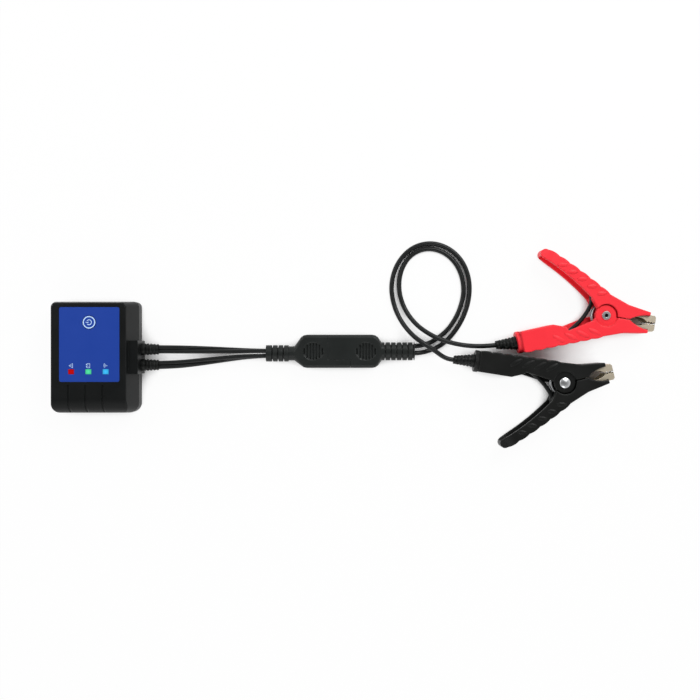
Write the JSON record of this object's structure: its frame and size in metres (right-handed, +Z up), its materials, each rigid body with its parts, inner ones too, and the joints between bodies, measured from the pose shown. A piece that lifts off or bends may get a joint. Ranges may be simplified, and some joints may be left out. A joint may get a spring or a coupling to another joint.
{
  "type": "battery tester",
  "caption": "Hand-held battery tester box with a labelled top and power key, twin cables to a pull-apart connector, and looped leads that end in a red and a black spring clamp.",
  "frame": {"origin": "centre of the tester box's base, on the surface that the whole set lies on", "axes": "+Z up, +X from the box along its cables towards the clamps, +Y towards the box's back end, beside the power key"},
  "size_m": [0.439, 0.1514, 0.0263],
  "materials": {
    "case_black": "fine moulded texture",
    "label_blue": "printed overlay",
    "button_blue": "satin key",
    "window_red": "tinted light guide",
    "window_green": "tinted light guide",
    "window_blue": "tinted light guide",
    "board_green": "solder mask",
    "led_clear": "clear epoxy",
    "chip_black": "moulded epoxy",
    "shield_steel": "tinned can",
    "ceramic_white": "cement body",
    "can_aluminium": "drawn can",
    "contact_brass": "bright contact",
    "screw_steel": "zinc plated",
    "rubber_black": "soft moulded rubber",
    "cable_black": "smooth jacket",
    "connector_black": "moulded soft plastic",
    "handle_red": "satin moulded",
    "handle_black": "satin moulded",
    "jaw_nickel": "plated sheet",
    "rivet_steel": "bright plated",
    "spring_steel": "bright wire"
  },
  "bodies": {
    "tester": {"top_cover": "case_black", "bottom_cover": "case_black", "label_overlay": "label_blue", "led_window_red": "window_red", "led_window_green": "window_green", "led_window_blue": "window_blue", "circuit_board": "board_green", "status_leds": "led_clear", "power_switch": "chip_black", "radio_module": "shield_steel", "controller_chip": "chip_black", "load_resistor": "ceramic_white", "load_transistor": "chip_black", "smoothing_capacitor": "can_aluminium", "wire_terminals": "contact_brass", "inner_wires": "cable_black", "cover_screws": "screw_steel", "upper_strain_relief": "rubber_black", "lower_strain_relief": "rubber_black", "upper_tester_cable": "cable_black", "lower_tester_cable": "cable_black", "tester_connector_housing": "connector_black", "tester_connector_pins": "contact_brass", "tester_connector_sleeve": "contact_brass"},
    "power_key": {"power_button": "button_blue", "power_switch_plunger": "chip_black"},
    "lead_set": {"lead_connector_housing": "connector_black", "lead_connector_sleeves": "contact_brass", "lead_connector_pin": "contact_brass", "red_lead": "cable_black", "black_lead": "cable_black", "red_lead_handle": "handle_red", "red_lead_boot": "rubber_black", "red_lead_jaw": "jaw_nickel", "red_pivot_rivet": "rivet_steel", "red_spring": "spring_steel", "red_jumper_wire": "cable_black", "black_lead_handle": "handle_black", "black_lead_boot": "rubber_black", "black_lead_jaw": "jaw_nickel", "black_pivot_rivet": "rivet_steel", "black_spring": "spring_steel", "black_jumper_wire": "cable_black"},
    "red_free_handle": {"red_free_handle": "handle_red", "red_free_jaw": "jaw_nickel"},
    "black_free_handle": {"black_free_handle": "handle_black", "black_free_jaw": "jaw_nickel"}
  },
  "joints": [
    {"name": "power_press", "type": "slide", "parent": "tester", "child": "power_key", "axis": [0, 0, -1], "range_m": [0, 0.0005], "stiffness_N_per_m": 600, "springref_m": -0.0005},
    {"name": "connector_pull", "type": "slide", "parent": "tester", "child": "lead_set", "axis": [1, 0, 0], "range_m": [0, 0.03]},
    {"name": "red_clamp_open", "type": "hinge", "parent": "lead_set", "child": "red_free_handle", "pos_m": [0.3706, 0.0301, 0.009], "axis": [0, 0, 1], "range_deg": [0, 38], "stiffness_Nm_per_rad": 0.3, "springref_deg": -34.38, "deforming": ["red_spring", "red_jumper_wire"]},
    {"name": "black_clamp_open", "type": "hinge", "parent": "lead_set", "child": "black_free_handle", "pos_m": [0.3409, -0.0185, 0.009], "axis": [0, 0, -1], "range_deg": [0, 38], "stiffness_Nm_per_rad": 0.3, "springref_deg": -34.38, "deforming": ["black_spring", "black_jumper_wire"]}
  ]
}
